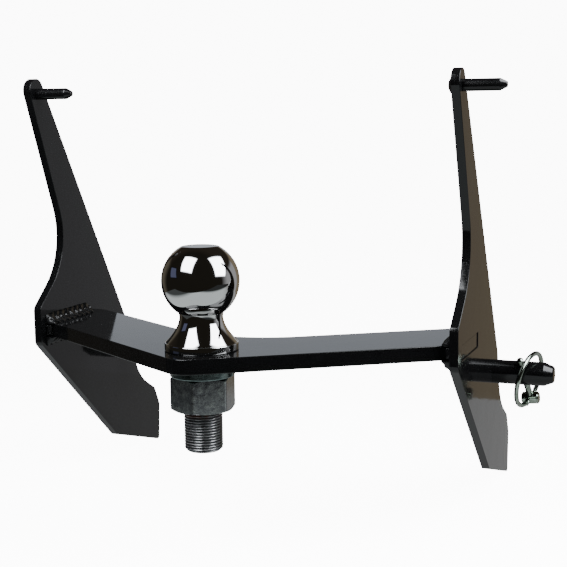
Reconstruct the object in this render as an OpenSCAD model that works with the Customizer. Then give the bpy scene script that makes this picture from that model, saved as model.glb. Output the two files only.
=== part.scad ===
// Slide-on trailer hitch with a tow ball: two side plates, a bent crossbar
// welded between them, four docking pins, a bolted tow ball and a lynch pin.
// Origin at the ball's centre. +X runs along the docking pins, +Y points
// from the ball towards the vehicle, +Z is up. Millimetres.

/* [Crossbar] */
// Distance over the outer faces of the two side plates
hitch_width = 316; // [290:1:340]
// Thickness of the crossbar
bar_t = 10; // [8:0.5:12]
// Width of the crossbar, measured square to its front edge
bar_w = 60; // [50:1:64]
// Angle of each half of the crossbar to the X axis, in degrees
bar_angle = 33.4; // [30:0.1:36]
// How far the sharp front apex would lie in front of the ball's axis
apex_front = 39.5; // [38:0.5:42]
// Radius that rounds the front apex
apex_r = 18; // [10:1:25]
// Radius inside the bend at the back
bend_r = 80; // [60:5:100]

/* [Side plates] */
// Thickness of a side plate
plate_t = 6; // [5:0.5:8]
// Radius of the large hollow in a plate's front edge
hollow_r = 49; // [40:1:50]
// Radius of the notch in a plate's back edge
notch_r = 46; // [30:1:48]

/* [Docking pins] */
// Diameter of the upper pins
upper_pin_d = 7.94; // [7:0.1:8]
// Length of an upper pin beyond its plate
upper_pin_l = 28; // [20:1:32]
// Diameter of the lower pins
lower_pin_d = 17.46; // [16:0.1:18]
// Length of the right lower pin, which the lynch pin goes through
right_lower_l = 44; // [42:0.5:48]
// Length of the left lower pin, which has no lynch pin
left_lower_l = 35.5; // [30:0.5:42]

/* [Tow ball] */
// Diameter of the ball
ball_d = 50.8; // [47.6:0.1:50.8]
// Height of the ball's centre over the crossbar
seat_h = 45; // [44:0.5:50]
// Diameter of the ball's shank
shank_d = 25.4; // [25:0.1:25.4]
// Length of the shank below the ball's flange
shank_l = 66.8; // [60:0.1:75]
// Width of the nut across its flats
nut_af = 38.1; // [36:0.1:41]

/* [Lynch pin] */
// Diameter of the lynch pin's shaft
lynch_d = 4.76; // [4:0.1:5]
// Diameter of the ring's wire
ring_wire_d = 3.5; // [3.2:0.1:3.6]
// Radius of the ring to the middle of its wire
ring_r = 19.9; // [19.4:0.1:20.4]

/* [Hidden] */

// Room left between pieces that touch in the real hitch
gap = 0.05;
// A cut goes this far past a face
past = 1;
arc_step = 4;

half_w = hitch_width / 2;
inner_x = half_w - plate_t;
bar_top = -seat_h;
bar_bottom = bar_top - bar_t;

// Crossbar: heights over the V's two edges, and where the edges end
rise = tan(bar_angle);
bar_depth = bar_w / cos(bar_angle);
bar_front_y = inner_x * rise - apex_front;
shoulder_in = 8.5;
shoulder_r = 18;
tab_front = bar_front_y;
tab_l = 50;
tab_sink = 0.6;
ball_hole_r = shank_d / 2 + 0.3;

// Side plate: pin centres and outline, as [Y, Z] with Z from the crossbar's top
upper_pin_at = [57, 167.2];
lower_pin_at = [170, -39.2];
slot_gap = 0.3;

// Each pin has a thinner tenon through its plate and a shoulder on the face
upper_tenon_r = 3.18;
lower_tenon_r = 7;
tenon_stickout = 3;

// Lower pin: lead-in at the free end, and the right one's cross hole
lead_in_l = 7;
lead_in_r = 5.4;
lead_in_bevel = 0.8;
cross_hole_at = 21.8;
cross_hole_r = 4;

// Upper pin: taper at the free end
taper_l = 4.6;
taper_r = 1.8;

// Tow ball
ball_r = ball_d / 2;
ball_flat_z = 22.5;
neck_r = 14.2;
neck_z = -23.2;
flange_r = 24.2;
flange_t = 5.2;
flange_bevel = 0.8;
flare_power = 1.8;
ball_steps = 40;
flare_steps = 16;
shank_bevel = 1.6;

// Lock washer and nut
washer_r = 21.3;
washer_t = 6.9;
washer_slit = 1.6;
washer_bevel = 0.4;
washer_play = 0.4;
slit_slant = 20;
nut_t = 22.4;
nut_turn = 37.4;
nut_chamfer = 2.9;

// Lynch pin: turn about the big pin, lean along it, and lengths from the
// middle of the cross hole
lynch_turn = 32;
lynch_lean = -7.5;
head_at = -25.4;
tip_at = 14.2;
head_r = 4.6;
head_l = 12.6;
head_bevel = 0.9;
tip_bevel = 1.1;
ring_skew = 18.6;
ring_rest = 9;
ring_gap_angle = 20.5;
ring_play = 0.1;
ring_stub_in = 1.2;
ring_joint = 0.4;

// Weld beads: leg of each fillet, and how far it runs along a plate in front
// of and behind the crossbar's front corner
weld_leg = 7;
weld_throat = 0.58;
weld_ahead = 6;
weld_behind = 54;
front_leg = 5;
plug_t = 1.4;
plug_bevel = 1.2;
pin_weld_leg = 2.4;
pin_weld_throat = 0.6;

// Helpers ------------------------------------------------------------------

function unit(v) = v / norm(v);

// Points of the arc that rounds corner p, between its neighbours a and b
function corner_arc(a, p, b, r) =
    let (
        u = unit(a - p),
        w = unit(b - p),
        half = acos(u * w) / 2,
        c = p + unit(u + w) * r / sin(half),
        start = p + u * r / tan(half) - c,
        end = p + w * r / tan(half) - c,
        from = atan2(start.y, start.x),
        turn = (atan2(end.y, end.x) - from + 540) % 360 - 180,
        n = max(2, ceil(abs(turn) / arc_step))
    )
    [for (i = [0:n]) c + r * [cos(from + turn * i / n), sin(from + turn * i / n)]];

// A closed outline from corners given as [x, y, radius]
module rounded_outline(corners) {
    n = len(corners);
    xy = [for (c = corners) [c.x, c.y]];
    polygon([for (i = [0:n - 1])
        each corners[i][2] > 0
            ? corner_arc(xy[(i + n - 1) % n], xy[i], xy[(i + 1) % n], corners[i][2])
            : [xy[i]]]);
}

// Puts a shape drawn in [Y, Z] into the YZ plane and extrudes it along +X
module along_x(length) {
    rotate([90, 0, 90]) linear_extrude(length) children();
}

// A revolved profile of [radius, distance] points, laid along +X
module turned_x(profile) {
    rotate([0, 90, 0]) rotate_extrude($fn = 72) polygon(profile);
}

// Moves children so that Z lies along the right lower pin's cross hole, or
// along a shaft that leans in it, with the origin in the middle of the hole
module at_cross_hole(lean) {
    translate([half_w + cross_hole_at, lower_pin_at[0], bar_top + lower_pin_at[1]])
        rotate([lynch_turn, 0, 0]) rotate([0, lean, 0]) children();
}

module mirror_x(on) {
    if (on) mirror([1, 0, 0]) children();
    else children();
}

// Side plates --------------------------------------------------------------

// Outline in [Y, Z], Z from the crossbar's top, clockwise from the tip
module plate_outline() {
    rounded_outline([
        [59.1, 180.6, 8],
        [184.7, -27, 12],
        [195.6, -67.8, notch_r],
        [226.5, -85.5, 3],
        [235, -101.5, 4],
        [232.8, -133.9, 3],
        [157.5, -110.5, 9],
        [48.8, -14.5, 6],
        [48.8, 12.4, 6],
        [93.5, 49.6, hollow_r],
        [44.6, 173.4, 8]
    ]);
}

module side_plate(x) {
    difference() {
        translate([x, 0, bar_top]) along_x(plate_t) plate_outline();
        translate([x - past, tab_front - slot_gap, bar_bottom - slot_gap])
            cube([plate_t + 2 * past, tab_l + 2 * slot_gap, bar_t + 2 * slot_gap]);
        translate([x - past, upper_pin_at[0], bar_top + upper_pin_at[1]]) rotate([0, 90, 0])
            cylinder(h = plate_t + 2 * past, r = upper_tenon_r + gap, $fn = 72);
        translate([x - past, lower_pin_at[0], bar_top + lower_pin_at[1]]) rotate([0, 90, 0])
            cylinder(h = plate_t + 2 * past, r = lower_tenon_r + gap, $fn = 72);
    }
}

module left_side_plate() { color("#1b1b1c") side_plate(-half_w); }
module right_side_plate() { color("#1b1b1c") side_plate(inner_x); }

// Crossbar -----------------------------------------------------------------

module crossbar() {
    back_y = bar_depth - apex_front;
    shoulder_x = inner_x - shoulder_in;
    shoulder_y = back_y + shoulder_x * rise;
    end_x = inner_x - gap;
    tab_x = half_w - tab_sink;
    tab_back = tab_front + tab_l;
    color("#1b1b1c") difference() {
        translate([0, 0, bar_bottom]) linear_extrude(bar_t) rounded_outline([
            [0, -apex_front, apex_r],
            [end_x, bar_front_y, 0],
            [end_x, tab_front, 0],
            [tab_x, tab_front, 0],
            [tab_x, tab_back, 0],
            [end_x, tab_back, 0],
            [end_x, shoulder_y, 0],
            [shoulder_x, shoulder_y, shoulder_r],
            [0, back_y, bend_r],
            [-shoulder_x, shoulder_y, shoulder_r],
            [-end_x, shoulder_y, 0],
            [-end_x, tab_back, 0],
            [-tab_x, tab_back, 0],
            [-tab_x, tab_front, 0],
            [-end_x, tab_front, 0],
            [-end_x, bar_front_y, 0]
        ]);
        translate([0, 0, bar_bottom - past])
            cylinder(h = bar_t + 2 * past, r = ball_hole_r, $fn = 96);
    }
}

// Weld beads ---------------------------------------------------------------

// A fillet in the corner between the right plate's inner face and the bar.
// side is 1 over the bar and -1 under it
module fillet_weld(y0, y1, side) {
    z = side > 0 ? bar_top + gap : bar_bottom - gap;
    x = inner_x - gap;
    throat = weld_leg * weld_throat;
    translate([0, y0, 0]) rotate([90, 0, 0]) mirror([0, 0, 1]) linear_extrude(y1 - y0)
        polygon([[x, z], [x, z + side * weld_leg],
                 [x - throat, z + side * throat], [x - weld_leg, z]]);
}

module top_weld(left) {
    color("#202021") mirror_x(left)
        fillet_weld(bar_front_y - weld_ahead, bar_front_y + weld_behind, 1);
}

module bottom_weld(left) {
    color("#202021") mirror_x(left)
        fillet_weld(bar_front_y - weld_ahead, bar_front_y + weld_behind, -1);
}

// An upright fillet between the crossbar's front face and a plate's inner face
module front_weld(left) {
    x = inner_x - gap;
    y = bar_front_y - 2 * gap;
    inset = front_leg * weld_throat;
    color("#202021") mirror_x(left) translate([0, 0, bar_bottom]) linear_extrude(bar_t)
        polygon([[x, y], [x, y - front_leg],
                 [x - inset, y - front_leg * cos(bar_angle)],
                 [x - front_leg * cos(bar_angle), y - front_leg * sin(bar_angle)]]);
}

module left_top_weld() { top_weld(true); }
module right_top_weld() { top_weld(false); }
module left_bottom_weld() { bottom_weld(true); }
module right_bottom_weld() { bottom_weld(false); }
module left_front_weld() { front_weld(true); }
module right_front_weld() { front_weld(false); }

// Docking pins -------------------------------------------------------------

// All the pins point along +X. face_x is the plate face that the shoulder meets
module upper_pin(face_x) {
    r = upper_pin_d / 2;
    back = plate_t + tenon_stickout;
    end = back + upper_pin_l;
    color("#161617") translate([face_x - back, upper_pin_at[0], bar_top + upper_pin_at[1]])
        turned_x([[0, 0], [upper_tenon_r, 0], [upper_tenon_r, back + gap],
                  [r, back + gap], [r, end - taper_l], [taper_r, end], [0, end]]);
}

module lower_pin(face_x, length) {
    r = lower_pin_d / 2;
    end = plate_t + length;
    color("#161617") translate([face_x - plate_t, lower_pin_at[0], bar_top + lower_pin_at[1]])
        turned_x([[0, 0], [lower_tenon_r, 0], [lower_tenon_r, plate_t + gap],
                  [r, plate_t + gap], [r, end - lead_in_l],
                  [lead_in_r + lead_in_bevel, end - lead_in_bevel],
                  [lead_in_r, end], [0, end]]);
}

module left_upper_pin() { upper_pin(-inner_x); }
module right_upper_pin() { upper_pin(half_w); }
module left_lower_pin() { lower_pin(-inner_x, left_lower_l); }

module right_lower_pin() {
    difference() {
        lower_pin(half_w, right_lower_l);
        color("#161617") at_cross_hole(0)
            cylinder(h = lower_pin_d + 2 * past, r = cross_hole_r, center = true, $fn = 72);
    }
}

// A ring of weld round an upper pin's tenon, on the back of the plate
module upper_pin_weld(back_x) {
    r = upper_tenon_r + gap;
    throat = pin_weld_leg * pin_weld_throat;
    color("#202021") translate([back_x - gap, upper_pin_at[0], bar_top + upper_pin_at[1]])
        rotate([0, -90, 0]) rotate_extrude($fn = 72)
            polygon([[r, 0], [r + pin_weld_leg, 0], [r + throat, throat], [r, pin_weld_leg]]);
}

// A low plug of weld over a lower pin's tenon
module lower_pin_weld(back_x) {
    r = lower_pin_d / 2;
    color("#202021") translate([back_x - gap, lower_pin_at[0], bar_top + lower_pin_at[1]])
        rotate([0, -90, 0]) rotate_extrude($fn = 72)
            polygon([[0, 0], [r, 0], [r - plug_bevel / 2, plug_t / 2],
                     [r - 2 * plug_bevel, plug_t], [0, plug_t]]);
}

module left_upper_pin_weld() { upper_pin_weld(-half_w); }
module right_upper_pin_weld() { upper_pin_weld(inner_x); }
module left_lower_pin_weld() { lower_pin_weld(-half_w); }
module right_lower_pin_weld() { lower_pin_weld(inner_x); }

// Tow ball, washer and nut -------------------------------------------------

// Ball, neck, flared base and shank, forged in one piece
module tow_ball() {
    flat_a = asin(ball_flat_z / ball_r);
    neck_a = -acos(neck_r / ball_r);
    flange_top = bar_top + gap + flange_t;
    flare_h = neck_z - flange_top;
    flare_w = flange_r - flange_bevel - neck_r;
    ball = [for (i = [0:ball_steps]) let (a = flat_a + (neck_a - flat_a) * i / ball_steps)
        ball_r * [cos(a), sin(a)]];
    flare = [for (i = [0:flare_steps]) let (t = i / flare_steps)
        [neck_r + flare_w * pow(t, flare_power), neck_z - flare_h * t]];
    shank_end = bar_top - shank_l;
    shank_r = shank_d / 2;
    color("#c9cbcf") rotate_extrude($fn = 128) polygon(concat(
        [[0, ball_flat_z]], ball, flare,
        [[flange_r, flange_top - flange_bevel],
         [flange_r, bar_top + gap + flange_bevel], [flange_r - flange_bevel, bar_top + gap],
         [shank_r, bar_top + gap], [shank_r, shank_end + shank_bevel],
         [shank_r - shank_bevel, shank_end], [0, shank_end]]));
}

module lock_washer() {
    top = bar_bottom - gap;
    inner_r = shank_d / 2 + washer_play;
    color("#8d9092") difference() {
        translate([0, 0, top - washer_t]) rotate_extrude($fn = 96)
            polygon([[inner_r, 0], [washer_r - washer_bevel, 0], [washer_r, washer_bevel],
                     [washer_r, washer_t - washer_bevel], [washer_r - washer_bevel, washer_t],
                     [inner_r, washer_t]]);
        translate([inner_r - past, -washer_slit / 2, top - washer_t - past])
            rotate([slit_slant, 0, 0]) cube([washer_r, washer_slit, washer_t + 4 * past]);
    }
}

module ball_nut() {
    top = bar_bottom - 2 * gap - washer_t;
    corner_r = nut_af / 2 / cos(30);
    color("#8f9499") translate([0, 0, top - nut_t]) difference() {
        intersection() {
            rotate([0, 0, nut_turn]) cylinder(h = nut_t, r = corner_r, $fn = 6);
            rotate_extrude($fn = 96)
                polygon([[0, 0], [corner_r - nut_chamfer, 0],
                         [corner_r, nut_chamfer * tan(30)],
                         [corner_r, nut_t - nut_chamfer * tan(30)],
                         [corner_r - nut_chamfer, nut_t], [0, nut_t]]);
        }
        translate([0, 0, -past])
            cylinder(h = nut_t + 2 * past, r = shank_d / 2 + gap, $fn = 96);
    }
}

// Lynch pin and its ring ---------------------------------------------------

module lynch_pin() {
    r = lynch_d / 2;
    color("#b9c4b4") at_cross_hole(lynch_lean) difference() {
        union() {
            translate([0, 0, head_at]) rotate_extrude($fn = 64)
                polygon([[0, 0], [r, 0], [r, tip_at - head_at - tip_bevel],
                         [r - tip_bevel, tip_at - head_at], [0, tip_at - head_at]]);
            translate([-head_l / 2, 0, head_at]) turned_x([
                [0, 0], [head_r - head_bevel, 0], [head_r, head_bevel],
                [head_r, head_l - head_bevel], [head_r - head_bevel, head_l], [0, head_l]]);
        }
        translate([0, 0, head_at]) rotate([0, 0, -ring_skew]) rotate([90, 0, 0])
            cylinder(h = 2 * head_r + 2 * past, r = ring_wire_d / 2 + ring_play, center = true, $fn = 48);
    }
}

// An open loop of wire whose two ends turn into the head
module lynch_ring() {
    r = ring_wire_d / 2;
    reach = ring_r * sin(ring_gap_angle);
    color("#b9c4b4") at_cross_hole(lynch_lean) translate([0, 0, head_at])
        rotate([0, 0, -ring_skew]) rotate([0, ring_rest, 0]) {
            translate([0, 0, ring_r]) rotate([90, 0, 90])
                rotate([0, 0, ring_gap_angle - 90])
                    rotate_extrude(angle = 360 - 2 * ring_gap_angle, $fn = 120)
                        translate([ring_r, 0]) circle(r = r, $fn = 32);
            for (side = [-1, 1])
                translate([0, side * ring_stub_in, 0]) rotate([-90 * side, 0, 0])
                    cylinder(h = reach - ring_stub_in + ring_joint, r = r, $fn = 32);
        }
}

left_side_plate();
right_side_plate();
crossbar();
left_top_weld();
left_bottom_weld();
left_front_weld();
right_top_weld();
right_bottom_weld();
right_front_weld();
left_upper_pin();
right_upper_pin();
left_lower_pin();
right_lower_pin();
left_upper_pin_weld();
right_upper_pin_weld();
left_lower_pin_weld();
right_lower_pin_weld();
tow_ball();
lock_washer();
ball_nut();
lynch_pin();
lynch_ring();
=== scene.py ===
import math

import bmesh
import bpy
from mathutils import Matrix, Vector, noise


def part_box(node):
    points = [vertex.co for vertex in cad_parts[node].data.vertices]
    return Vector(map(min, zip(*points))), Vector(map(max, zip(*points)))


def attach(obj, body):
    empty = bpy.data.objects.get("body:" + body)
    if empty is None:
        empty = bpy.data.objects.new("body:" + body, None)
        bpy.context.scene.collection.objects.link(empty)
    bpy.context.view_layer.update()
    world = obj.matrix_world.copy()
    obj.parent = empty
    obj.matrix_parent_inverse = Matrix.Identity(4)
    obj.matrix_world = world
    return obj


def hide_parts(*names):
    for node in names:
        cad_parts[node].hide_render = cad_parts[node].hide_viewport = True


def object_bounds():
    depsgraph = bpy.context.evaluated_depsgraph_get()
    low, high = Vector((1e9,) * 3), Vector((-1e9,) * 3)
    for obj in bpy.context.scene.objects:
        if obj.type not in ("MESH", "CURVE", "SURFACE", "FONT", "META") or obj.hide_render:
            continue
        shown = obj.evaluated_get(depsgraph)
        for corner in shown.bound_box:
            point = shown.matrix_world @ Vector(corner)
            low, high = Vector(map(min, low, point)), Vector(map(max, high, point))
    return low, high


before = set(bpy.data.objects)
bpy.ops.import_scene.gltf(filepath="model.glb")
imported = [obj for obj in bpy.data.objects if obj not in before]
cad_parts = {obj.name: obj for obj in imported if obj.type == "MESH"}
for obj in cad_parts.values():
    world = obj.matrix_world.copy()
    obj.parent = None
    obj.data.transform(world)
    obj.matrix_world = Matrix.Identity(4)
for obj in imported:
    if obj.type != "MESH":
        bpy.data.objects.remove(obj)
CAD_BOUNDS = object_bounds()

MM = 0.001
HITCH = "hitch"
LYNCH = "lynch_pin_body"
RING = "lynch_ring_body"

# ---------------------------------------------------------------- camera
# In front of the hitch, to its right and a little above
CAMERA_AT = Vector((0.321945, -0.690574, 0.103400))
YAW = math.radians(20.966)
PITCH = math.radians(7.942)
ROLL = math.radians(-0.722)
LENS = 75.54
SENSOR = 36.0
CLIP_NEAR = 0.01
CLIP_FAR = 50.0


def make_camera():
    """Adds the camera. Gives the directions right, up and forward as it sees them."""
    level = math.cos(PITCH)
    forward = Vector((-math.sin(YAW) * level, math.cos(YAW) * level, -math.sin(PITCH)))
    flat_right = Vector((math.cos(YAW), math.sin(YAW), 0.0))
    flat_up = flat_right.cross(forward)
    right = flat_right * math.cos(ROLL) + flat_up * math.sin(ROLL)
    up = flat_up * math.cos(ROLL) - flat_right * math.sin(ROLL)
    data = bpy.data.cameras.new("camera")
    data.lens = LENS
    data.sensor_width = SENSOR
    data.clip_start = CLIP_NEAR
    data.clip_end = CLIP_FAR
    camera = bpy.data.objects.new("camera", data)
    turned = Matrix((right, up, -forward)).transposed().to_4x4()
    camera.matrix_world = Matrix.Translation(CAMERA_AT) @ turned
    bpy.context.scene.collection.objects.link(camera)
    bpy.context.scene.camera = camera
    return right, up, forward


CAM_RIGHT, CAM_UP, CAM_FORWARD = make_camera()


# ---------------------------------------------------------------- nodes
class Graph:
    """A short way to write a material's or the world's node tree."""

    def __init__(self, tree):
        self.tree = tree
        tree.nodes.clear()

    def add(self, kind, **inputs):
        node = self.tree.nodes.new(kind)
        for key, value in inputs.items():
            self.put(node, key, value)
        return node

    def put(self, node, key, value):
        """Links or sets an input, named with _ for each space, or numbered as i0, i1 and so on."""
        numbered = key[0] == "i" and key[1:].isdigit()
        socket = node.inputs[int(key[1:]) if numbered else key.replace("_", " ")]
        if isinstance(value, bpy.types.NodeSocket):
            self.tree.links.new(value, socket)
        else:
            socket.default_value = value

    def math(self, operation, a, b, clamp=False):
        node = self.tree.nodes.new("ShaderNodeMath")
        node.operation = operation
        node.use_clamp = clamp
        self.put(node, "i0", a)
        self.put(node, "i1", b)
        return node.outputs[0]

    def noise(self, place, scale, detail, rough, distortion=0.0):
        node = self.add("ShaderNodeTexNoise", Vector=place, Scale=scale, Detail=detail, Roughness=rough)
        self.put(node, "Distortion", distortion)
        return node.outputs["Fac"]

    def mapped(self, value, low, high, to_low, to_high):
        node = self.add("ShaderNodeMapRange", i0=value, i1=low, i2=high, i3=to_low, i4=to_high)
        return node.outputs[0]

    def mix(self, fac, a, b):
        node = self.tree.nodes.new("ShaderNodeMix")
        node.data_type = "RGBA"
        for key, value in (("i0", fac), ("i6", a), ("i7", b)):
            self.put(node, key, value)
        return node.outputs[2]

    def choose(self, fac, first, second):
        """The first shader where fac is 0, and the second where it is 1."""
        return self.add("ShaderNodeMixShader", i0=fac, i1=first, i2=second).outputs[0]

    def bump(self, height, distance, normal=None):
        node = self.add("ShaderNodeBump", Height=height, Distance=distance, Strength=1.0)
        if normal is not None:
            self.put(node, "Normal", normal)
        return node.outputs[0]


def new_material(name):
    mat = bpy.data.materials.new(name)
    mat.use_nodes = True
    return mat, Graph(mat.node_tree)


def surface(name):
    """A material with its graph, its shader, and the socket that gives places on the object."""
    mat, g = new_material(name)
    shader = g.add("ShaderNodeBsdfPrincipled")
    g.add("ShaderNodeOutputMaterial", Surface=shader.outputs[0])
    place = g.add("ShaderNodeTexCoord").outputs["Object"]
    return mat, g, shader, place


def grey(value):
    return (value, value, value, 1.0)


def scaled(colour, red, green, blue):
    return (colour[0] * red, colour[1] * green, colour[2] * blue, 1.0)


# ---------------------------------------------------------------- materials
PAINT_TINT = (0.0032, 0.0032, 0.0034)
PAINT_IOR = 1.40
DUST = grey(0.015)
RUST = (0.16, 0.05, 0.018, 1.0)
RUST_BEGINS = 5.0 * MM
RUST_FULL = 1.0 * MM


def paint(name, peel, rough=0.07):
    """Gloss black powder coat: faint orange peel, uneven gloss and fine dust."""
    mat, g, shader, place = surface(name)
    orange_peel = g.noise(place, scale=420.0, detail=2.0, rough=0.5)
    wave = g.noise(place, scale=38.0, detail=2.0, rough=0.5)
    dust = g.noise(place, scale=2600.0, detail=1.0, rough=0.5)
    specks = g.mapped(dust, 0.70, 0.80, 0.0, 1.0)
    patches = g.noise(place, scale=30.0, detail=4.0, rough=0.6)
    base = g.mix(patches, scaled(PAINT_TINT, 0.8, 0.8, 0.8), scaled(PAINT_TINT, 1.5, 1.5, 1.5))
    g.put(shader, "Base_Color", g.mix(specks, base, DUST))
    g.put(shader, "Roughness", g.mapped(patches, 0.3, 0.7, rough * 0.75, rough * 1.4))
    shader.inputs["Specular IOR Level"].default_value = 0.5
    shader.inputs["IOR"].default_value = PAINT_IOR
    first = g.bump(orange_peel, 0.012 * MM * peel)
    second = g.bump(wave, 0.06 * MM * peel, normal=first)
    g.put(shader, "Normal", g.bump(specks, 0.02 * MM, normal=second))
    return mat


def chrome(name):
    """Mirror chrome with a little haze and a few dull specks."""
    mat, g, shader, place = surface(name)
    haze = g.noise(place, scale=60.0, detail=3.0, rough=0.6)
    dull = g.noise(place, scale=1500.0, detail=1.0, rough=0.5)
    specks = g.mapped(dull, 0.72, 0.80, 0.0, 1.0)
    base = g.mix(haze, grey(0.58), (0.66, 0.66, 0.65, 1.0))
    g.put(shader, "Base_Color", g.mix(specks, base, grey(0.30)))
    shader.inputs["Metallic"].default_value = 1.0
    g.put(shader, "Roughness", g.mapped(haze, 0.3, 0.7, 0.025, 0.05))
    g.put(shader, "Normal", g.bump(g.noise(place, scale=14.0, detail=2.0, rough=0.5), 0.03 * MM))
    return mat


def zinc(name, low, high, rough, blotch=150.0):
    """Zinc plate: cloudy blotches, small dark stains and a fine grain."""
    mat, g, shader, place = surface(name)
    clouds = g.noise(place, scale=blotch, detail=6.0, rough=0.7, distortion=0.2)
    grain = g.noise(place, scale=1400.0, detail=2.0, rough=0.6)
    stained = g.noise(place, scale=blotch * 2.3, detail=4.0, rough=0.65, distortion=0.5)
    stains = g.mapped(stained, 0.55, 0.68, 0.0, 0.75)
    base = g.mix(g.mapped(clouds, 0.36, 0.66, 0.0, 1.0), low, high)
    g.put(shader, "Base_Color", g.mix(stains, base, scaled(low, 0.5, 0.5, 0.55)))
    shader.inputs["Metallic"].default_value = 1.0
    g.put(shader, "Roughness", g.mapped(clouds, 0.3, 0.7, rough * 0.7, rough * 1.4))
    g.put(shader, "Normal", g.bump(grain, 0.02 * MM, normal=g.bump(clouds, 0.06 * MM)))
    return mat


def thread_steel(name, crest, root, top):
    """Plated thread: painted highlight on the crests and painted shade in the roots, and a little rust by
    the nut, up to the height top.
    """
    mat, g, shader, place = surface(name)
    split = g.add("ShaderNodeSeparateXYZ", Vector=place)
    flat = g.add("ShaderNodeCombineXYZ", X=split.outputs["X"], Y=split.outputs["Y"])
    from_axis = g.tree.nodes.new("ShaderNodeVectorMath")
    from_axis.operation = "LENGTH"
    g.put(from_axis, "i0", flat.outputs[0])
    height = g.mapped(from_axis.outputs["Value"], root, crest, 0.0, 1.0)
    clouds = g.noise(place, scale=260.0, detail=4.0, rough=0.6)
    # painted shade and highlight: the base colour runs from dark at the thread's roots to bright at its
    # crests
    painted_light_steel = g.mix(height, (0.09, 0.09, 0.094, 1.0), (0.29, 0.29, 0.295, 1.0))
    rust_band = g.mapped(split.outputs["Z"], top - RUST_BEGINS, top - RUST_FULL, 0.0, 1.0)
    rust_noise = g.noise(place, scale=120.0, detail=3.0, rough=0.6)
    rust_spots = g.mapped(rust_noise, 0.42, 0.52, 0.0, 0.9)
    rusted = g.math("MULTIPLY", rust_band, rust_spots, clamp=True)
    g.put(shader, "Base_Color", g.mix(rusted, painted_light_steel, RUST))
    g.put(shader, "Metallic", g.mapped(rusted, 0.0, 1.0, 1.0, 0.3))
    g.put(shader, "Roughness", g.mapped(clouds, 0.3, 0.7, 0.26, 0.40))
    g.put(shader, "Normal", g.bump(g.noise(place, scale=1800.0, detail=2.0, rough=0.6), 0.03 * MM))
    return mat


PLATE_PAINT = paint("plate_paint", 1.6)
BAR_PAINT = paint("bar_paint", 0.7)
WELD_PAINT = paint("weld_paint", 2.0, rough=0.21)
PIN_PAINT = paint("pin_paint", 0.15, rough=0.14)
CHROME = chrome("chrome")
NUT_ZINC = zinc("nut_zinc", (0.20, 0.205, 0.22, 1.0), (0.34, 0.36, 0.345, 1.0), 0.20, 260.0)
WASHER_ZINC = zinc("washer_zinc", (0.10, 0.13, 0.13, 1.0), (0.22, 0.27, 0.26, 1.0), 0.20)
LYNCH_ZINC = zinc("lynch_zinc", (0.24, 0.29, 0.24, 1.0), (0.48, 0.55, 0.48, 1.0), 0.12, 300.0)

# ---------------------------------------------------------------- meshes
MERGE_MADE = 1e-7
MERGE_CAD = 1e-6
ON_AXIS = 1e-6
ONE_FLAT = math.radians(0.6)
BEVEL_STEPS = 3


def add_piece(name, mesh, mat, body, slot, *replaced, angle=32.0, weighed=False):
    """Adds a visible piece. Edges sharper than the angle, in degrees, stay sharp."""
    for polygon in mesh.polygons:
        polygon.use_smooth = True
    mesh.set_sharp_from_angle(angle=math.radians(angle))
    if weighed:
        weigh_normals(mesh)
    mesh.materials.clear()
    mesh.materials.append(mat)
    piece = bpy.data.objects.new(name, mesh)
    bpy.context.scene.collection.objects.link(piece)
    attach(piece, body)
    if replaced:
        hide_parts(*replaced)
    return piece


def weigh_normals(mesh):
    """Lets the broad faces set the normals, so that flat faces stay flat beside rounded edges."""
    normals = [Vector() for _ in mesh.vertices]
    for polygon in mesh.polygons:
        for index in polygon.vertices:
            normals[index] += polygon.normal * polygon.area
    mesh.normals_split_custom_set_from_vertices([n.normalized() for n in normals])


def mesh_of(name, verts, faces):
    mesh = bpy.data.meshes.new(name)
    mesh.from_pydata([tuple(v) for v in verts], [], faces)
    bm = bmesh.new()
    bm.from_mesh(mesh)
    bmesh.ops.remove_doubles(bm, verts=bm.verts, dist=MERGE_MADE)
    bmesh.ops.recalc_face_normals(bm, faces=bm.faces)
    bm.to_mesh(mesh)
    bm.free()
    return mesh


def softened(node, name, mat, body, slot, width, edge_angle=28.0):
    """The CAD node's own shape with its hard edges rounded over."""
    bm = bmesh.new()
    bm.from_mesh(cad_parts[node].data)
    bmesh.ops.remove_doubles(bm, verts=bm.verts, dist=MERGE_CAD)
    bmesh.ops.dissolve_limit(
        bm, angle_limit=ONE_FLAT, verts=bm.verts, edges=bm.edges, use_dissolve_boundaries=False
    )
    limit = math.radians(edge_angle)
    hard = [e for e in bm.edges if len(e.link_faces) == 2 and e.calc_face_angle() > limit]
    bmesh.ops.bevel(
        bm,
        geom=hard,
        offset=width,
        offset_type="OFFSET",
        segments=BEVEL_STEPS,
        profile=0.5,
        affect="EDGES",
        clamp_overlap=True,
    )
    mesh = bpy.data.meshes.new(name)
    bmesh.ops.recalc_face_normals(bm, faces=bm.faces)
    bm.to_mesh(mesh)
    bm.free()
    return add_piece(name, mesh, mat, body, slot, node, weighed=True)


def grid_faces(rows, columns, closed_columns=True, closed_rows=False):
    """Four-sided faces between rows of points. A closed direction joins its end to its start."""
    faces = []
    for r in range(rows if closed_rows else rows - 1):
        for c in range(columns if closed_columns else columns - 1):
            a = r * columns + c
            b = r * columns + (c + 1) % columns
            up = ((r + 1) % rows) * columns
            faces.append((a, b, up + (c + 1) % columns, up + c))
    return faces


def turns(steps):
    """The angles of one full turn, in equal steps."""
    return [2 * math.pi * i / steps for i in range(steps)]


def lathe(name, profile, steps, radius=None):
    """A revolved [r, z] profile about Z. radius(r, z, turn) may vary it round the axis."""
    verts = []
    for r, z in profile:
        for turn in turns(steps):
            reach = radius(r, z, turn) if radius else r
            verts.append((reach * math.cos(turn), reach * math.sin(turn), z))
    return mesh_of(name, verts, grid_faces(len(profile), steps))


def arc_points(centre, radius, start, end, steps):
    """Points along an arc, with its angles in degrees."""
    points = []
    for i in range(steps + 1):
        a = math.radians(start + (end - start) * i / steps)
        points.append((centre[0] + radius * math.cos(a), centre[1] + radius * math.sin(a)))
    return points


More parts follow.
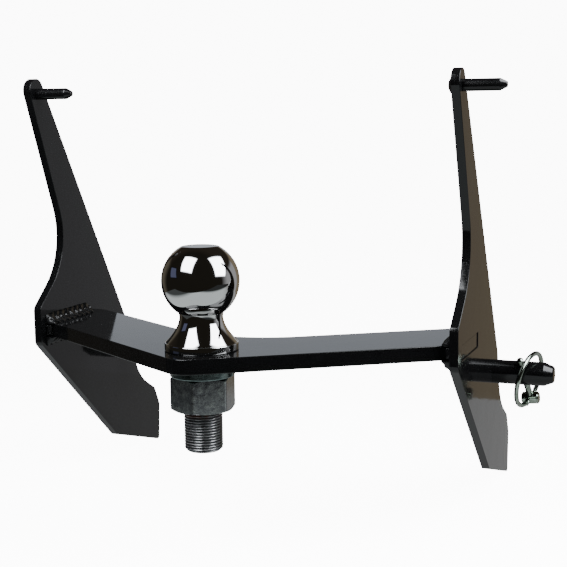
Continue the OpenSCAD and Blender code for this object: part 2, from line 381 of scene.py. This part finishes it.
# ---------------------------------------------------------------- plates, bar, pins
BEVEL_PLATE = 0.4 * MM
BEVEL_BAR = 0.6 * MM
BEVEL_PIN = 0.35 * MM
PIN_EDGE = 12.0


def plates_and_bar():
    for side in ("left", "right"):
        softened(f"{side}_side_plate", f"{side}_plate", PLATE_PAINT, HITCH, "black_coat", BEVEL_PLATE)
    softened("crossbar", "bent_bar", BAR_PAINT, HITCH, "black_coat", BEVEL_BAR)


def docking_pins():
    for side in ("left", "right"):
        for level, level_name in (("upper", "top"), ("lower", "bottom")):
            name = f"{side}_{level_name}_docking_pin"
            softened(f"{side}_{level}_pin", name, PIN_PAINT, HITCH, "black_pin", BEVEL_PIN, PIN_EDGE)


plates_and_bar()
docking_pins()

# ---------------------------------------------------------------- weld beads
BEAD_STEP = 0.2 * MM
BEAD_ARC = 18
BEAD_ANGLE = 60.0
# How far the back of a bead sinks into the corner that it fills
BEAD_SINK = 0.15 * MM
BEAD_END = 0.2 * MM
BEAD_TAPER = 2.2 * MM
# 2 would make the section a quarter circle, and 1 a straight chamfer
BEAD_ROUND = 1.45
# Distance between ripples, how far each curves back, and how far it wanders
RIPPLE = 7.0 * MM
RIPPLE_CURVE = 0.9
RIPPLE_WANDER = 0.35
WANDER_SCALE = 180.0
# A bead's size between ripples, how much a ripple adds, which way its crest leans,
# and how much the bead's size wanders
BEAD_LOW = 0.85
RIPPLE_RISE = 0.17
RIPPLE_LEAN = 0.55
BEAD_WANDER = 0.05
# The slope of the crossbar's arms, which its front welds follow
BAR_SLOPE = math.radians(33.4)


def bead(name, start, end, wall, floor, leg, replaced, wobble_seed):
    """A rippled fillet from start to end; wall and floor point along the two faces it joins."""
    along = (end - start).normalized()
    length = (end - start).length
    rows = int(length / BEAD_STEP) + 1
    verts = []
    for i in range(rows + 1):
        s = length * i / rows
        taper = min(1.0, (s + BEAD_END) / BEAD_TAPER, (length - s + BEAD_END) / BEAD_TAPER)
        swell = math.sqrt(1.0 - (1.0 - taper) ** 2)
        base = start + along * s
        drift = noise.noise(Vector((s * WANDER_SCALE, wobble_seed, 0.0)))
        for j in range(BEAD_ARC + 1):
            phi = math.pi / 2 * j / BEAD_ARC
            phase = (s + RIPPLE * RIPPLE_CURVE * math.sin(2 * phi)) / RIPPLE
            crest = (phase + RIPPLE_WANDER * drift) % 1.0
            scale = BEAD_LOW + RIPPLE_RISE * math.sin(math.pi * crest ** RIPPLE_LEAN) + BEAD_WANDER * drift
            curve = math.cos(phi) ** BEAD_ROUND + math.sin(phi) ** BEAD_ROUND
            reach = leg * curve ** (-1 / BEAD_ROUND) * scale * swell
            verts.append(base + floor * (reach * math.cos(phi)) + wall * (reach * math.sin(phi)))
        verts.append(base - (floor + wall) * BEAD_SINK)
    columns = BEAD_ARC + 2
    faces = grid_faces(rows + 1, columns)
    faces.append(tuple(range(columns)))
    faces.append(tuple(rows * columns + c for c in range(columns)))
    mesh = mesh_of(name, verts, faces)
    return add_piece(name, mesh, WELD_PAINT, HITCH, "coated_weld", replaced, angle=BEAD_ANGLE)


def straight_beads():
    """Beads over and under the crossbar, along each plate, each with ripples of its own."""
    for side, sign in (("left", 1.0), ("right", -1.0)):
        for level, up in (("top", 1.0), ("bottom", -1.0)):
            node = f"{side}_{level}_weld"
            low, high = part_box(node)
            x = low.x if sign > 0 else high.x
            z = low.z if up > 0 else high.z
            start = Vector((x, low.y, z))
            end = Vector((x, high.y, z))
            wall = Vector((0.0, 0.0, up))
            floor = Vector((sign, 0.0, 0.0))
            bead(f"{side}_{level}_bead", start, end, wall, floor, high.x - low.x, node, up + sign * 3)


def front_beads():
    """Upright beads where the crossbar's front face meets each plate."""
    for side, sign in (("left", 1.0), ("right", -1.0)):
        node = f"{side}_front_weld"
        low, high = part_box(node)
        x = low.x if sign > 0 else high.x
        start = Vector((x, high.y, low.z))
        end = Vector((x, high.y, high.z))
        wall = Vector((0.0, -1.0, 0.0))
        floor = Vector((sign * math.cos(BAR_SLOPE), -math.sin(BAR_SLOPE), 0.0))
        leg = (high.x - low.x) / math.cos(BAR_SLOPE)
        bead(f"{side}_front_bead", start, end, wall, floor, leg, node, 7 + sign)


straight_beads()
front_beads()

# ---------------------------------------------------------------- welds behind the docking pins
ROUND_WELD_STEPS = 120
RING_ARC = 10
RING_RIPPLES = 12
RING_LOW = 0.92
RING_RISE = 0.10
RING_LEAN = 0.6
PLUG_ROWS = 26
PLUG_RIPPLES = 14
PLUG_SWIRL = 9.0
PLUG_LOW = 0.86
PLUG_RISE = 0.14
# A higher power makes the dome flatter, with a steeper rim
PLUG_POWER = 6
PLUG_BACK = 0.15


def about_x(x, middle, radius, turn):
    """The point at this radius and angle from the line along X through the middle."""
    return (x, middle.y + radius * math.cos(turn), middle.z + radius * math.sin(turn))


def pin_ring(node):
    """A rippled ring of weld round the end of an upper pin."""
    low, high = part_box(node)
    middle = (low + high) / 2
    thick = high.x - low.x
    inner = (high.y - low.y) / 2 - thick
    verts = []
    for i, turn in enumerate(turns(ROUND_WELD_STEPS)):
        ripple = (RING_RIPPLES * i / ROUND_WELD_STEPS) % 1.0
        scale = RING_LOW + RING_RISE * math.sin(math.pi * ripple ** RING_LEAN)
        for j in range(RING_ARC + 1):
            phi = math.pi / 2 * j / RING_ARC
            x = high.x - thick * scale * math.sin(phi)
            verts.append(about_x(x, middle, inner + thick * scale * math.cos(phi), turn))
        verts.append(about_x(high.x, middle, inner, turn))
    name = node + "_bead"
    mesh = mesh_of(name, verts, grid_faces(ROUND_WELD_STEPS, RING_ARC + 2, closed_rows=True))
    add_piece(name, mesh, WELD_PAINT, HITCH, "coated_weld", node, angle=BEAD_ANGLE)


def pin_plug(node):
    """A domed, swirled plug of weld over the end of a lower pin."""
    steps = ROUND_WELD_STEPS
    low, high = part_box(node)
    middle = (low + high) / 2
    outer = (high.y - low.y) / 2
    thick = high.x - low.x
    verts = [(low.x + PLUG_BACK * thick, middle.y, middle.z)]
    for k in range(1, PLUG_ROWS + 1):
        t = k / PLUG_ROWS
        for turn in turns(steps):
            ripple = 0.5 + 0.5 * math.sin(PLUG_RIPPLES * turn + PLUG_SWIRL * t)
            dome = (1.0 - t ** PLUG_POWER) * (PLUG_LOW + PLUG_RISE * ripple * t)
            verts.append(about_x(high.x - thick * dome, middle, outer * t, turn))
    faces = [(0, 1 + i, 1 + (i + 1) % steps) for i in range(steps)]
    for k in range(PLUG_ROWS - 1):
        for i in range(steps):
            a = 1 + k * steps + i
            b = 1 + k * steps + (i + 1) % steps
            faces.append((a, a + steps, b + steps, b))
    faces.append(tuple(1 + (PLUG_ROWS - 1) * steps + i for i in range(steps)))
    name = node + "_bead"
    mesh = mesh_of(name, verts, faces)
    add_piece(name, mesh, WELD_PAINT, HITCH, "coated_weld", node, angle=BEAD_ANGLE)


for weld in ("left_upper_pin_weld", "right_upper_pin_weld"):
    pin_ring(weld)
for weld in ("left_lower_pin_weld", "right_lower_pin_weld"):
    pin_plug(weld)

# ---------------------------------------------------------------- tow ball
BALL_LOW, BALL_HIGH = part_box("tow_ball")
BALL_R = BALL_HIGH.x
FLAT_Z = BALL_HIGH.z
# The flat on top turns into the ball over these distances
FLAT_ENDS = 0.9 * MM
FLAT_TURNS = 0.4 * MM
FLAT_DROP = 0.06 * MM
# Degrees of the ball left out at the flat and at the neck, for the same reason
FLAT_BLEND = 1.2
NECK_BLEND = 1.0
NECK_R = 14.2 * MM
NECK_Z = -23.2 * MM
FLANGE_R = 24.2 * MM
FLANGE_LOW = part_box("crossbar")[1].z + 0.05 * MM
FLANGE_TOP = FLANGE_LOW + 5.2 * MM
FLANGE_RIM = 0.8 * MM
FLARE_W = FLANGE_R - FLANGE_RIM - NECK_R
FLARE_POWER = 1.8
FLARE_STEPS = 32
BALL_STEPS = 192
BALL_ARC = 96
RIM_ARC = 6

SHANK_R = 12.7 * MM
SHANK_STEPS = 120
THREAD_PITCH = 25.4 * MM / 14
THREAD_DEPTH = 1.0 * MM
THREAD_EDGE = 50.0
ROWS_A_PITCH = 10
TIP_IN = 3.2 * MM
# The thread's end: how much smaller it starts, and how fast it grows with height
LEAD_IN = 1.9 * MM
LEAD_SLOPE = 1.1
# Parts of a half pitch: the flat at a root, and the flank from there to a crest
ROOT_FLAT = 0.10
FLANK = 0.78


def ball_profile():
    flat_angle = math.degrees(math.asin(FLAT_Z / BALL_R))
    neck_angle = -math.degrees(math.acos(NECK_R / BALL_R))
    edge = math.sqrt(BALL_R ** 2 - FLAT_Z ** 2)
    points = [(ON_AXIS, FLAT_Z), (edge / 2, FLAT_Z), (edge - FLAT_ENDS, FLAT_Z)]
    points.append((edge - FLAT_TURNS, FLAT_Z - FLAT_DROP))
    top = flat_angle - FLAT_BLEND
    points += arc_points((0.0, 0.0), BALL_R, top, neck_angle + NECK_BLEND, BALL_ARC)
    for i in range(FLARE_STEPS + 1):
        t = i / FLARE_STEPS
        points.append((NECK_R + FLARE_W * t ** FLARE_POWER, NECK_Z - (NECK_Z - FLANGE_TOP) * t))
    rim = FLANGE_RIM
    points += arc_points((FLANGE_R - rim, FLANGE_TOP - rim), rim, 80, 0, RIM_ARC)
    points += arc_points((FLANGE_R - rim, FLANGE_LOW + rim), rim, 0, -90, RIM_ARC)
    points.append((SHANK_R, FLANGE_LOW))
    points.append((ON_AXIS, FLANGE_LOW))
    return points


def shank_profile():
    low = BALL_LOW.z
    rows = int((FLANGE_LOW - low) / (THREAD_PITCH / ROWS_A_PITCH))
    points = [(ON_AXIS, low), (SHANK_R - TIP_IN, low)]
    for i in range(rows + 1):
        points.append((SHANK_R, low + (FLANGE_LOW - low) * i / rows))
    points.append((ON_AXIS, FLANGE_LOW))
    return points


def thread_radius(r, z, turn):
    """The shank's radius with its thread cut, at this height and angle."""
    if r < SHANK_R - ON_AXIS:
        return r
    phase = (z / THREAD_PITCH - turn / (2 * math.pi)) % 1.0
    tooth = min(1.0, max(0.0, (abs(2 * phase - 1) - ROOT_FLAT) / FLANK))
    cut = SHANK_R - THREAD_DEPTH * (1 - tooth)
    lead = SHANK_R - LEAD_IN + max(0.0, z - BALL_LOW.z) * LEAD_SLOPE
    return min(cut, lead)


def tow_ball():
    ball = lathe("ball_and_neck", ball_profile(), BALL_STEPS)
    add_piece("ball_and_neck", ball, CHROME, HITCH, "chrome_ball", "tow_ball")
    painted_light_steel = thread_steel("shank_steel", SHANK_R, SHANK_R - THREAD_DEPTH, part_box("ball_nut")[0].z)
    shank = lathe("threaded_shank", shank_profile(), SHANK_STEPS, thread_radius)
    add_piece("threaded_shank", shank, painted_light_steel, HITCH, "chrome_ball", "tow_ball", angle=THREAD_EDGE)


tow_ball()

# ---------------------------------------------------------------- nut and washer
NUT_LOW, NUT_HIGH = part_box("ball_nut")
NUT_AF = 38.1 * MM
NUT_CORNER = NUT_AF / 2 / math.cos(math.radians(30.0))
NUT_TURN = 37.4
NUT_CHAMFER = 2.9 * MM
NUT_CHAMFER_SLOPE = math.tan(math.radians(30.0))
NUT_STEPS = 360
CHAMFER_ROWS = 8
SIDE_ROWS = 6
# How far the faces run beside an edge before they turn
NUT_EDGE = 0.25 * MM
# The six upright corners are cut back and eased over, by parts of this distance
CORNER_ROUND = 0.6 * MM
CORNER_CUT = 0.45
CORNER_RISE = 1.6
NUT_SHARP = 24.0
BORE_R = 12.8 * MM
BORE_LIP = 1.1 * MM
WASHER_BEVEL = 0.35 * MM


def hex_radius(turn):
    """The nut's radius at this angle, with its six corners rounded over."""
    across = (math.degrees(turn) - NUT_TURN) % 60.0
    straight = NUT_AF / 2 / math.cos(math.radians(across - 30.0))
    rounding = NUT_CORNER - CORNER_ROUND * CORNER_CUT - CORNER_ROUND
    if straight <= rounding:
        return straight
    over = (straight - rounding) / (NUT_CORNER - rounding)
    return rounding + CORNER_ROUND * (over - over * over / 2) * CORNER_RISE


def nut_line(side):
    """The nut's outline in one upright plane, with the given radius at its side."""
    start = NUT_CORNER - NUT_CHAMFER
    lift = max(0.0, side - start) * NUT_CHAMFER_SLOPE
    low = NUT_LOW.z
    high = NUT_HIGH.z
    mouth = BORE_R + BORE_LIP
    chamfer = [k / CHAMFER_ROWS for k in range(CHAMFER_ROWS + 1)]
    line = [(mouth, low), (start - NUT_EDGE, low)]
    line += [(start + (side - start) * t, low + lift * t) for t in chamfer]
    line.append((side, low + lift + NUT_EDGE))
    line += [(side, low + lift + (high - low - 2 * lift) * k / SIDE_ROWS) for k in range(1, SIDE_ROWS)]
    line.append((side, high - lift - NUT_EDGE))
    line += [(start + (side - start) * t, high - lift * t) for t in reversed(chamfer)]
    line += [(start - NUT_EDGE, high), (mouth, high)]
    line += [(BORE_R, high - BORE_LIP), (BORE_R, low + BORE_LIP)]
    return line


def hex_nut():
    columns = []
    for turn in turns(NUT_STEPS):
        line = nut_line(hex_radius(turn))
        columns.append([(r * math.cos(turn), r * math.sin(turn), z) for r, z in line])
    rows = len(columns[0])
    verts = [column[row] for row in range(rows) for column in columns]
    mesh = mesh_of("hex_nut", verts, grid_faces(rows, NUT_STEPS, closed_rows=True))
    add_piece("hex_nut", mesh, NUT_ZINC, HITCH, "zinc_nut", "ball_nut", angle=NUT_SHARP)


hex_nut()
softened("lock_washer", "split_washer", WASHER_ZINC, HITCH, "zinc_washer", WASHER_BEVEL)

# ---------------------------------------------------------------- lynch pin
LYNCH_BEVEL = 0.25 * MM
LYNCH_EDGE = 18.0
WIRE_BEVEL = 0.1 * MM
softened("lynch_pin", "lynch_pin_turned", LYNCH_ZINC, LYNCH, "zinc_lynch", LYNCH_BEVEL, LYNCH_EDGE)
softened("lynch_ring", "lynch_ring_wire", LYNCH_ZINC, RING, "zinc_ring", WIRE_BEVEL)

# ---------------------------------------------------------------- stage
# The floor and the table lie this far apart, and the floor this far under the part
STAGE_GAP = 0.5 * MM
FLOOR_Z = CAD_BOUNDS[0].z - STAGE_GAP
FLOOR_HALF = 6.0
FLOOR_GREY = 0.8
WHITE = 11.0


def add_to_stage(name, mesh, mat, unseen_by, at=(0.0, 0.0, 0.0)):
    """Adds a mesh to the stage, unseen by these kinds of ray."""
    mesh.materials.append(mat)
    card = bpy.data.objects.new(name, mesh)
    card.location = at
    bpy.context.scene.collection.objects.link(card)
    for ray in unseen_by:
        setattr(card, f"visible_{ray}", False)


def sheet(name, left, right, front, back, z):
    mesh = bpy.data.meshes.new(name)
    corners = [(left, front, z), (right, front, z), (right, back, z), (left, back, z)]
    mesh.from_pydata(corners, [], [(0, 1, 2, 3)])
    return mesh


def make_floor():
    """A plain white floor, seen by the camera from above only."""
    mat, g = new_material("pale_floor")
    glow = g.add("ShaderNodeEmission", Color=grey(1.0), Strength=WHITE)
    matte = g.add("ShaderNodeBsdfDiffuse", Color=grey(FLOOR_GREY))
    both = g.add("ShaderNodeAddShader", i0=glow.outputs[0], i1=matte.outputs[0])
    clear = g.add("ShaderNodeBsdfTransparent")
    under = g.add("ShaderNodeNewGeometry").outputs["Backfacing"]
    shown = g.choose(under, both.outputs[0], clear.outputs[0])
    g.add("ShaderNodeOutputMaterial", Surface=shown)
    mesh = sheet("floor", -FLOOR_HALF, FLOOR_HALF, -FLOOR_HALF, FLOOR_HALF, FLOOR_Z)
    add_to_stage("floor", mesh, mat, ("glossy", "diffuse", "shadow"))


TABLE_LEFT = -0.52
TABLE_RIGHT = 1.3
TABLE_FRONT = -0.36
TABLE_BACK = 0.47
TABLE_NEAR = (0.76, 0.82, 0.83, 1.0)


def make_table():
    """What the gloss sees of the floor: a table that ends in front of and behind the hitch."""
    mat, g = new_material("table")
    place = g.add("ShaderNodeTexCoord").outputs["Object"]
    split = g.add("ShaderNodeSeparateXYZ", Vector=place)
    x = split.outputs["X"]
    y = split.outputs["Y"]
    # bright in front, darker behind, and darker still behind and to the left
    back_level = g.mapped(x, 0.06, 0.17, 0.39, 0.44)
    back = g.add("ShaderNodeCombineColor", i0=back_level, i1=back_level, i2=back_level)
    nearness = g.mapped(y, 0.04, 0.20, 1.0, 0.0)
    level = g.mix(nearness, back.outputs[0], TABLE_NEAR)
    # its light falls off towards the front left and the front right
    near_left = g.mapped(g.math("ADD", x, y), -0.46, -0.32, 0.10, 1.0)
    near_right = g.mapped(g.math("SUBTRACT", x, y), 0.46, 0.60, 1.0, 0.05)
    lit = g.math("MULTIPLY", near_left, near_right)
    glow = g.add("ShaderNodeEmission", Color=level, Strength=lit)
    g.add("ShaderNodeOutputMaterial", Surface=glow.outputs[0])
    mesh = sheet("table", TABLE_LEFT, TABLE_RIGHT, TABLE_FRONT, TABLE_BACK, FLOOR_Z - STAGE_GAP)
    add_to_stage("table", mesh, mat, ("camera", "shadow"))


# What the gloss sees round the table: a dim room, and behind the hitch a brown wall
# with a pale part, and a neutral grey to the far right
BROWN = (0.25, 0.205, 0.142, 1.0)
FAR_BROWN = (0.12, 0.105, 0.078, 1.0)
NEUTRAL = (0.42, 0.42, 0.43, 1.0)
PALE_WALL = (0.54, 0.575, 0.63, 1.0)
CEILING = (0.030, 0.024, 0.018, 1.0)
ROOM = (0.016, 0.014, 0.011, 1.0)


def make_world():
    world = bpy.data.worlds.new("studio")
    bpy.context.scene.world = world
    world.use_nodes = True
    g = Graph(world.node_tree)
    place = g.add("ShaderNodeTexCoord").outputs["Generated"]
    split = g.add("ShaderNodeSeparateXYZ", Vector=place)
    height = split.outputs["Z"]
    aside = g.math("DIVIDE", split.outputs["X"], g.math("MAXIMUM", split.outputs["Y"], 0.02))
    far_left = g.mapped(aside, -1.6, -1.0, 1.0, 0.0)
    far_right = g.mapped(aside, 0.36, 0.46, 0.0, 1.0)
    low_back = g.mix(far_right, g.mix(far_left, BROWN, FAR_BROWN), NEUTRAL)
    # the pale wall fades at its foot, its top, its left and its right
    wall = g.mapped(height, 0.06, 0.09, 0.0, 1.0)
    wall = g.math("MULTIPLY", wall, g.mapped(height, 0.26, 0.32, 1.0, 0.0))
    wall = g.math("MULTIPLY", wall, g.mapped(aside, -1.0, -0.85, 0.0, 1.0))
    wall = g.math("MULTIPLY", wall, g.mapped(aside, -0.1, 0.0, 1.0, 0.0))
    back = g.mix(wall, low_back, PALE_WALL)
    back = g.mix(g.mapped(height, 0.30, 0.42, 0.0, 1.0), back, CEILING)
    behind = g.mapped(split.outputs["Y"], 0.0, 0.35, 0.0, 1.0)
    dim = g.add("ShaderNodeBackground", Color=g.mix(behind, ROOM, back), Strength=1.0)
    bright = g.add("ShaderNodeBackground", Color=grey(1.0), Strength=WHITE)
    seen = g.add("ShaderNodeLightPath").outputs["Is Camera Ray"]
    g.add("ShaderNodeOutputWorld", Surface=g.choose(seen, dim.outputs[0], bright.outputs[0]))


# ---------------------------------------------------------------- softboxes
COOL = (0.93, 0.96, 1.0, 1.0)
BLUE = (0.55, 0.60, 1.0, 1.0)
SOFTBOX_STEPS = 24
SOFTBOX_RIM = 0.10
SOFTBOX_FADE = 2.0
# Each one's corners where the ball mirrors them on its disc, from the top left, clockwise
WINDOW_LEFT = [(-0.36, 0.588), (-0.041, 0.537), (-0.18, 0.153), (-0.463, 0.205)]
WINDOW_RIGHT = [(0.176, 0.55), (0.496, 0.627), (0.637, 0.09), (0.394, 0.077)]
WINDOW_FAR = [(-0.70, 0.33), (-0.56, 0.30), (-0.55, 0.05), (-0.72, 0.06)]


def seen_in_ball(nx, ny):
    """The direction from which the ball's mirror shows something at (nx, ny) on its disc."""
    to_eye = -CAM_FORWARD
    nz = math.sqrt(max(0.0, 1.0 - nx * nx - ny * ny))
    normal = CAM_RIGHT * nx + CAM_UP * ny + to_eye * nz
    return normal * (2.0 * normal.dot(to_eye)) - to_eye


def softbox(name, corners, distance, strength, colour):
    """A studio light placed where the ball mirrors it at the given corners; it fades at its rim."""
    points = [seen_in_ball(nx, ny) * distance for nx, ny in corners]
    centre = sum(points, Vector()) / len(points)
    steps = SOFTBOX_STEPS
    verts = []
    from_rim = []
    for row in range(steps + 1):
        for column in range(steps + 1):
            u = column / steps
            v = row / steps
            top = points[0].lerp(points[1], u)
            foot = points[3].lerp(points[2], u)
            verts.append(tuple(top.lerp(foot, v) - centre))
            from_rim.append(min(u, 1 - u, v, 1 - v))
    mesh = bpy.data.meshes.new(name)
    mesh.from_pydata(verts, [], grid_faces(steps + 1, steps + 1, closed_columns=False))
    rim = mesh.attributes.new("rim", "FLOAT", "POINT")
    for item, value in zip(rim.data, from_rim):
        item.value = value
    mat, g = new_material(name)
    attribute = g.tree.nodes.new("ShaderNodeAttribute")
    attribute.attribute_name = "rim"
    fade = g.mapped(attribute.outputs["Fac"], 0.0, SOFTBOX_RIM, 0.0, 1.0)
    power = g.math("MULTIPLY", g.math("POWER", fade, SOFTBOX_FADE), strength)
    glow = g.add("ShaderNodeEmission", Color=colour, Strength=power)
    g.add("ShaderNodeOutputMaterial", Surface=glow.outputs[0])
    add_to_stage(name, mesh, mat, ("camera", "shadow"), centre)


make_floor()
make_table()
make_world()
softbox("softbox_left", WINDOW_LEFT, distance=0.7, strength=14.0, colour=COOL)
softbox("softbox_right", WINDOW_RIGHT, distance=0.7, strength=14.0, colour=COOL)
softbox("softbox_far", WINDOW_FAR, distance=0.9, strength=0.20, colour=BLUE)
